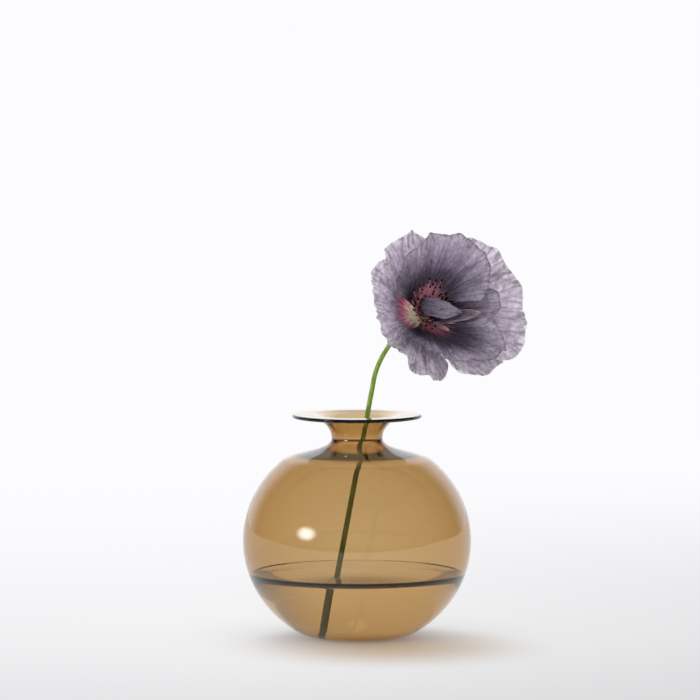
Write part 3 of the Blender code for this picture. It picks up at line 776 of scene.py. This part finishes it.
# Darker than the rosy tissue down to near its claw: painted shade, where the inner right fan lies in shadow
# beside the hood
dusky_shaded_tissue = petal_material("dusky_shaded_petal_tissue", (
    (0.0, "b98c98"), (0.15, "5f4b5c"), (0.42, "5c4f61"), (0.66, "a397ab"), (0.90, "dad0de"), (1.0, "e0d7e3"),
), 0.34, 0.58, 0.78)
ruddy_tissue = petal_material("ruddy_petal_tissue", (
    (0.0, "f4d0d5"), (0.10, "f0b2be"), (0.20, "dc93a3"), (0.31, "976374"), (0.42, "5c4d60"), (0.62, "75697d"),
    (0.85, "c8bdce"), (1.0, "d8cedc"),
), 0.34, 0.54, 0.78, (4.5, 3.8, 0.52))
inner_petals = (
    make_petal("inner_right_fan", "inner_petal_right", 2, 0, 26, (26.0, 34.5, 38.5, 36.0, 26.0), 55, 4, 0, 7),
    make_petal("inner_top_fan", "inner_petal_top", 3, 82, 78, (33.5, 43.5, 42.0, 32.5, 27.0), 50, 3, 0, 7),
    make_petal(
        "inner_bottom_fan", "inner_petal_bottom", 4, 273, 71, (36.0, 27.0, 35.0, 46.0, 36.0),
        48, 4, 0, 7, claw=0.4,
    ),
)
for petal, tissue in zip(inner_petals, (dusky_shaded_tissue, rosy_tissue, ruddy_tissue)):
    petal.data.materials.append(tissue)


# The seed pod: a young poppy capsule, a small ribbed urn of firm olive tissue on a short foot. It stands in
# the middle of the receptacle.
POD_RADIUS = 1.9
POD_FOOT_RADIUS = 1.3
POD_FOOT_HEIGHT = 1.2
POD_HEIGHT = 6.6
POD_BULGE = 1.35
POD_TOP = 0.7
POD_TOP_ROUND = 0.65
POD_RIBS = 9
POD_RIB_DEPTH = 0.03
pod_low = heart_floor + CLEARANCE
pod_high = pod_low + POD_HEIGHT
pod = turned("pod_urn", downward([
    knot(0, pod_low),
    knot(POD_FOOT_RADIUS, pod_low),
    knot(POD_FOOT_RADIUS, pod_low + POD_FOOT_HEIGHT, 0, 0, POD_BULGE * POD_RADIUS - POD_FOOT_RADIUS),
    knot(POD_TOP * POD_RADIUS, pod_high, 180, POD_TOP_ROUND * POD_RADIUS, 0),
    knot(0, pod_high),
]), fineness=8, steps=8 * POD_RIBS)
for vert in pod.data.vertices:
    rib = 1 - POD_RIB_DEPTH + POD_RIB_DEPTH * math.cos(POD_RIBS * math.atan2(vert.co.y, vert.co.x))
    vert.co.x *= rib
    vert.co.y *= rib
place_on_flower(pod)

# Capsule skin: olive green with a grey bloom, matte
BLOOM_SIZE = 0.8
material, tree, output = new_material("capsule_skin")
bloom = add_node(tree, "TexNoise", {
    "Vector": add_node(tree, "TexCoord").outputs["Object"], "Scale": 1.0 / (BLOOM_SIZE * MM), "Detail": 3.0,
})
greens = add_node(tree, "ValToRGB", {"Fac": bloom.outputs["Fac"]})
set_stops(greens, ((0.35, "4a4d22"), (0.70, "7c8050")))
shader = add_node(tree, "BsdfPrincipled", {"Base Color": greens.outputs[0], "Roughness": 0.7})
tree.links.new(shader.outputs[0], output.inputs["Surface"])
pod.data.materials.append(material)
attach(pod, "flower")
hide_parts("seed_pod")


# The stigma cap: a flat disc with nine scallops on the pod, each with a dark velvet ray where pollen is
# caught. It grows from the pod as its lid.
CAP_RADIUS = 2.3
CAP_TOP = 0.8
CAP_THICKNESS = 1.0
CAP_LOBE_DEPTH = 0.1
bpy.ops.object.select_all(action="DESELECT")
bpy.ops.mesh.primitive_cone_add(
    vertices=8 * POD_RIBS, radius1=CAP_RADIUS * MM, radius2=CAP_TOP * CAP_RADIUS * MM,
    depth=CAP_THICKNESS * MM, location=(0, 0, (pod_high + CLEARANCE + CAP_THICKNESS / 2) * MM),
)
cap = bpy.context.object
cap.name = "cap_disc"
bpy.ops.object.transform_apply(location=True, rotation=True, scale=True)
for corner, loop in zip(cap.data.uv_layers.active.data, cap.data.loops):
    corner.uv = cap.data.vertices[loop.vertex_index].co.xy / (CAP_RADIUS * MM)
for vert in cap.data.vertices:
    lobe = 1 - CAP_LOBE_DEPTH + CAP_LOBE_DEPTH * math.cos(POD_RIBS * math.atan2(vert.co.y, vert.co.x))
    vert.co.x *= lobe
    vert.co.y *= lobe
place_on_flower(cap)

# Velvet rays: nearly black on a yellow green disc
material, tree, output = new_material("stigma_velvet")
place = add_node(tree, "SeparateXYZ", {0: add_node(tree, "TexCoord").outputs["UV"]})
turn = add_node(tree, "Math", {0: place.outputs["Y"], 1: place.outputs["X"]}, operation="ARCTAN2")
turn = add_node(tree, "Math", {0: turn.outputs[0], 1: float(POD_RIBS)}, operation="MULTIPLY")
ray = add_node(tree, "Math", {0: turn.outputs[0]}, operation="COSINE")
colours = add_node(tree, "ValToRGB", {
    "Fac": add_node(tree, "MapRange", {"Value": ray.outputs[0], "From Min": -1.0}).outputs[0],
})
set_stops(colours, ((0.55, "6f7442"), (0.80, "241f18")))
shader = add_node(tree, "BsdfPrincipled", {"Base Color": colours.outputs[0], "Roughness": 0.9})
tree.links.new(shader.outputs[0], output.inputs["Surface"])
cap.data.materials.append(material)
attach(cap, "flower")
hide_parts("stigma_cap")


# The petaloids: three small petals at the heart, grown from stamens. One rises on a claw beside the pod and
# folds over it like a hood.
HOOD_AZIMUTH = math.radians(-14.0)
HOOD_LENGTH = 34.5
HOOD_HALF_WIDTHS = (0.5, 3.2, 4.9, 4.8, 1.0)
HOOD_LEAN = -34.0
HOOD_TURN = 122.0
HOOD_UPRIGHT = 0.07
HOOD_FOLD_START = 0.24
HOOD_FOLD_END = 0.44
HOOD_SHIFT = 1.2
HOOD_DROOP = 1.5
HOOD_CREASE = 1.7
HOOD_UNEVEN = 0.06
HOOD_STEPS = 30


def hood_heading(along):
    """How far the hood is turned from the flower's axis at a share of its length."""
    folded = ease((along - HOOD_FOLD_START) / (HOOD_FOLD_END - HOOD_FOLD_START))
    return math.radians(HOOD_LEAN * ease(along / HOOD_UPRIGHT) + HOOD_TURN * folded)


def hood_point(across, along):
    """A point of the hood's middle surface: up its claw, over the pod, drooping at its sides, and creased."""
    ahead = -(POD_FOOT_RADIUS + CLEARANCE + PETAL_THICKNESS)
    height = pod_low
    for step in range(HOOD_STEPS):
        heading = hood_heading(along * (step + 0.5) / HOOD_STEPS)
        ahead += math.sin(heading) * along * HOOD_LENGTH / HOOD_STEPS
        height += math.cos(heading) * along * HOOD_LENGTH / HOOD_STEPS
    heading = hood_heading(along)
    half_width = between(HOOD_HALF_WIDTHS, 2 * along - 1)
    opened = ease(along / HOOD_FOLD_START)
    # Two sizes of crease, and fine waves on its outer half
    crease = abs(noise.noise(Vector((2.2 * across + 1.2 * along, 2.6 * along, 0.7))))
    crease += 0.5 * abs(noise.noise(Vector((4.5 * across - 3.0 * along, 5.0 * along, 1.9))))
    crease += 0.12 * ease(3 * along - 1.6) * math.sin(45 * along + 4 * across + 3 * math.sin(6 * along))
    sink = opened * (HOOD_DROOP * half_width / max(HOOD_HALF_WIDTHS) * across ** 2 + HOOD_CREASE * crease)
    ahead += math.cos(heading) * sink
    height -= math.sin(heading) * sink
    margin = 1 + HOOD_UNEVEN * noise.noise(Vector((9 * along, across, 3.1)))
    aside = HOOD_SHIFT * opened + half_width * across * margin
    return Matrix.Rotation(HOOD_AZIMUTH, 3, "Z") @ Vector((ahead, aside, height))


hood_tissue = petal_material("hood_tissue", (
    (0.0, "b98c9a"), (0.25, "54495b"), (0.42, "756a7e"), (0.64, "a599ab"), (0.86, "c2b6c4"), (1.0, "a89cab"),
), 0.45, 0.30, 1.0)
petaloid_tissue = petal_material("petaloid_tissue", (
    (0.0, "8f5f6c"), (0.30, "5d5068"), (0.74, "7f748d"), (0.90, "a6959f"), (1.0, "cdbcbe"),
), 0.40, 0.40, 1.0)
pale_blade_tissue = petal_material("pale_blade_tissue", (
    (0.0, "b57a88"), (0.5, "d9a8b2"), (1.0, "e8c4ca"),
), 0.05, 0.35, 1.0)
pale_blade = make_petal("pale_blade", "petaloid_pale", 5, 306, 9, (8.0, 12.0, 14.5, 12.0, 8.0), 45, 0, 0, 0)
right_petaloid = make_petal(
    "right_petaloid", "petaloid_right", 6, 340, 20, (10.0, 14.0, 22.0, 27.0, 14.0), 47, 2, 0, 0,
)
hood = make_sheet("hood", "petaloid_hood", 36, 120, hood_point, 0.0, 0.25)
petaloid_tissues = ((pale_blade, pale_blade_tissue), (right_petaloid, petaloid_tissue), (hood, hood_tissue))
for petal, tissue in petaloid_tissues:
    petal.data.materials.append(tissue)


# The stamens: two rings of thin pink filaments around the pod, each with a dark anther, on a narrow collar.
# Those under the hood have stayed short.
COLLAR_WIDTH = 0.5
COLLAR_HEIGHT = 0.6
FILAMENT_RADII = (0.20, 0.13)
FILAMENT_SINK = 0.2
ANTHER_LENGTH = 1.6
ANTHER_WIDTHS = (1.0, 0.75)
STAMEN_JITTER = 0.4
STAMEN_CROWDING = 0.08
STAMEN_LENGTHS = (0.62, 1.05)
STAMEN_LEANS = (-7.0, 9.0)
LOWER_SHORTER = 0.22
HOOD_SHELTER = 50.0
SHELTERED_LENGTH = 0.5

# Filament: moist and pink. Anther: nearly black, dusted with brown pollen
BLUSH_SIZE = 2.5
POLLEN_SIZE = 0.25
filament_tissue, tree, output = new_material("filament_tissue")
tints = add_node(tree, "TexNoise", {
    "Vector": add_node(tree, "TexCoord").outputs["Object"], "Scale": 1.0 / (BLUSH_SIZE * MM), "Detail": 2.0,
})
pinks = add_node(tree, "ValToRGB", {"Fac": tints.outputs["Fac"]})
set_stops(pinks, ((0.35, "b0566a"), (0.65, "dd9aa6")))
shader = add_node(tree, "BsdfPrincipled", {"Base Color": pinks.outputs[0], "Roughness": 0.45})
tree.links.new(shader.outputs[0], output.inputs["Surface"])
anther_skin, tree, output = new_material("anther_skin")
dust = add_node(tree, "TexNoise", {
    "Vector": add_node(tree, "TexCoord").outputs["Object"], "Scale": 1.0 / (POLLEN_SIZE * MM), "Detail": 2.0,
})
browns = add_node(tree, "ValToRGB", {"Fac": dust.outputs["Fac"]})
set_stops(browns, ((0.45, "0b0808"), (0.80, "2e241c")))
bump = add_node(tree, "Bump", {"Height": dust.outputs["Fac"], "Strength": 0.6, "Distance": 0.1 * MM})
shader = add_node(tree, "BsdfPrincipled", {
    "Base Color": browns.outputs[0], "Roughness": 0.85, "Specular IOR Level": 0.1, "Normal": bump.outputs[0],
})
tree.links.new(shader.outputs[0], output.inputs["Surface"])


def make_stamens(name, node, count, clusters, collar_radius, lean, length, seed):
    """A ring of stamens on its collar, in place of its solid, with clusters of more: their number, and the
    ranges of their azimuths, leans and shares of the length."""
    chance = random.Random(seed)
    collar_high = pod_low + COLLAR_HEIGHT
    start_radius = collar_radius - COLLAR_WIDTH / 2
    bpy.ops.object.select_all(action="DESELECT")
    bpy.ops.mesh.primitive_torus_add(
        major_radius=start_radius * MM, minor_radius=COLLAR_WIDTH / 2 * MM, major_segments=4 * count,
        minor_segments=8, location=(0, 0, (pod_low + COLLAR_HEIGHT / 2) * MM),
    )
    parts = [bpy.context.object]
    parts[0].data.materials.append(filament_tissue)
    places = []
    for at in range(count):
        turn = (at + chance.uniform(-STAMEN_JITTER, STAMEN_JITTER)) / count - 0.5
        azimuth = 90 + 360 * (turn - STAMEN_CROWDING * math.sin(2 * math.pi * turn))
        reach = length * chance.uniform(*STAMEN_LENGTHS)
        reach *= 1 - LOWER_SHORTER + LOWER_SHORTER * math.sin(math.radians(azimuth))
        if abs(math.remainder(azimuth - math.degrees(HOOD_AZIMUTH), 360)) < HOOD_SHELTER:
            reach *= SHELTERED_LENGTH
        places.append((azimuth, lean + chance.uniform(*STAMEN_LEANS), reach))
    for number, azimuths, leans, shares in clusters:
        for _ in range(number):
            place = (chance.uniform(*azimuths), chance.uniform(*leans), length * chance.uniform(*shares))
            places.append(place)
    for azimuth, angle, reach in places:
        azimuth = math.radians(azimuth)
        angle = math.radians(angle)
        outward = Vector((math.cos(azimuth), math.sin(azimuth), 0))
        upright = Vector((0, 0, 1))
        start = start_radius * outward + (collar_high - FILAMENT_SINK) * upright
        along = math.sin(angle) * outward + math.cos(angle) * upright
        turned_to = along.to_track_quat("Z", "Y").to_euler()
        thread = reach - ANTHER_LENGTH / 2
        bpy.ops.mesh.primitive_cone_add(
            vertices=8, radius1=FILAMENT_RADII[0] * MM, radius2=FILAMENT_RADII[1] * MM, depth=thread * MM,
            location=(start + thread / 2 * along) * MM, rotation=turned_to,
        )
        bpy.ops.object.shade_smooth()
        bpy.context.object.data.materials.append(filament_tissue)
        parts.append(bpy.context.object)
        bpy.ops.mesh.primitive_uv_sphere_add(
            segments=12, ring_count=8, radius=0.5 * MM, location=(start + thread * along) * MM,
            rotation=turned_to, scale=(*ANTHER_WIDTHS, ANTHER_LENGTH),
        )
        bpy.ops.object.shade_smooth()
        bpy.context.object.data.materials.append(anther_skin)
        parts.append(bpy.context.object)
    for part in parts:
        part.select_set(True)
    bpy.context.view_layer.objects.active = parts[0]
    bpy.ops.object.join()
    ring = bpy.context.object
    ring.name = name
    bpy.ops.object.transform_apply(location=True, rotation=True, scale=True)
    place_on_flower(ring)
    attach(ring, "flower")
    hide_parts(node)


make_stamens("short_stamens", "stamens_inner", 22, (), 2.7, 31.0, 12.5, 0)
make_stamens("long_stamens", "stamens_outer", 34, (
    (16, (10.0, 46.0), (48.0, 57.0), (0.55, 0.80)),
    (12, (112.0, 172.0), (36.0, 50.0), (0.36, 0.62)),
), 3.5, 38.0, 18.0, 1)
